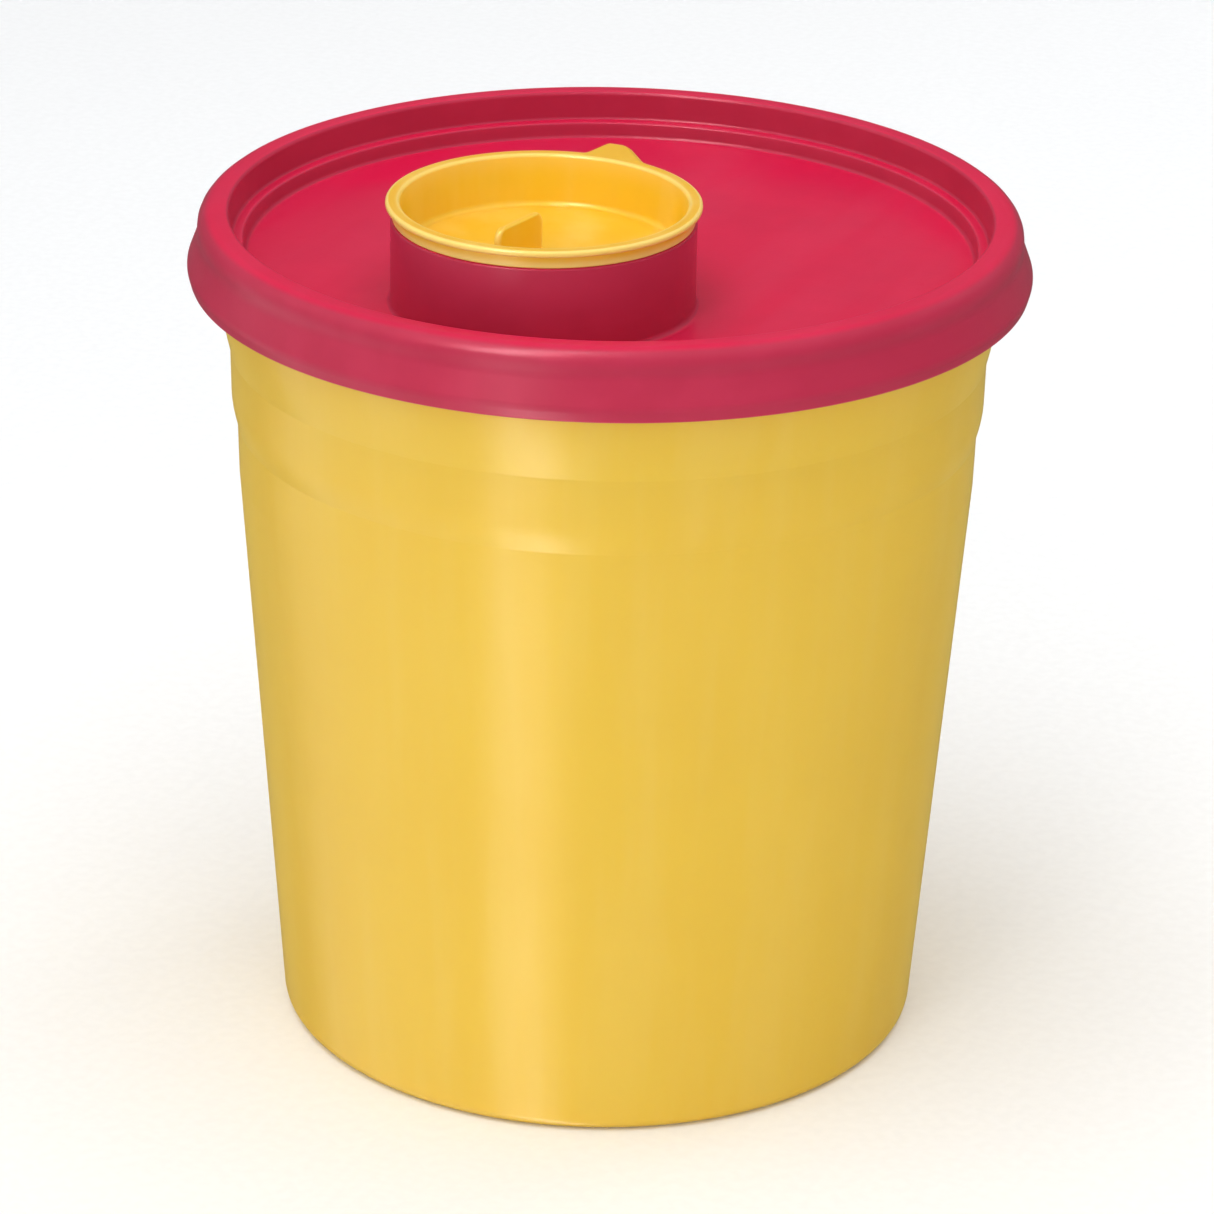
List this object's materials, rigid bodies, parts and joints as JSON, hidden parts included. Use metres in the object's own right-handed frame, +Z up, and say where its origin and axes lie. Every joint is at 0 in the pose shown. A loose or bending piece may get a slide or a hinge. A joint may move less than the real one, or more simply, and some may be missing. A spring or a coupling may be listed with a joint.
{
  "type": "sharps container",
  "caption": "Round tapered bucket for used sharps, with a push-fit lid, an off-centre collar to drop them through, and a cup-shaped plug that closes the collar.",
  "frame": {"origin": "centre of the bucket's underside, on the plane it stands on", "axes": "+Z up along the bucket's axis; the lid's collar lies towards -Y and the plug's lift tab points to +Y"},
  "size_m": [0.16, 0.16, 0.1748],
  "materials": {
    "bucket_plastic": "satin",
    "lid_plastic": "satin",
    "plug_plastic": "satin"
  },
  "bodies": {
    "bucket": {"bucket": "bucket_plastic"},
    "lid": {"lid": "lid_plastic"},
    "plug": {"plug": "plug_plastic"}
  },
  "joints": [
    {"name": "lid_lift", "type": "slide", "parent": "bucket", "child": "lid", "axis": [0, 0, 1], "range_m": [0, 0.06]},
    {"name": "plug_lift", "type": "slide", "parent": "lid", "child": "plug", "axis": [0, 0, 1], "range_m": [0, 0.04]}
  ]
}
